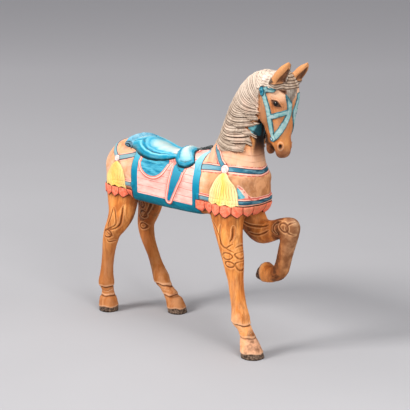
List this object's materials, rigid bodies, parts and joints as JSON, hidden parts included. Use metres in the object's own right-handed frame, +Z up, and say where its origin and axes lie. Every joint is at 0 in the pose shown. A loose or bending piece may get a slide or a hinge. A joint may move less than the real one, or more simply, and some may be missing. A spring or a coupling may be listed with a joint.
{
  "type": "carved wooden horse statue",
  "caption": "Standing carved and painted wooden horse in carousel style, left foreleg raised, with carved mane, saddle, blanket, bridle, straps, tassels and scalloped trim.",
  "frame": {"origin": "on the ground, below the middle of the bounding box", "axes": "+X the way the horse faces, +Y toward its left side, +Z up; the three standing hooves rest on z = 0"},
  "size_m": [0.9806, 0.2523, 1.0936],
  "materials": {
    "painted_wood": "satin"
  },
  "bodies": {
    "root": {"carved_horse": "painted_wood"}
  },
  "joints": []
}
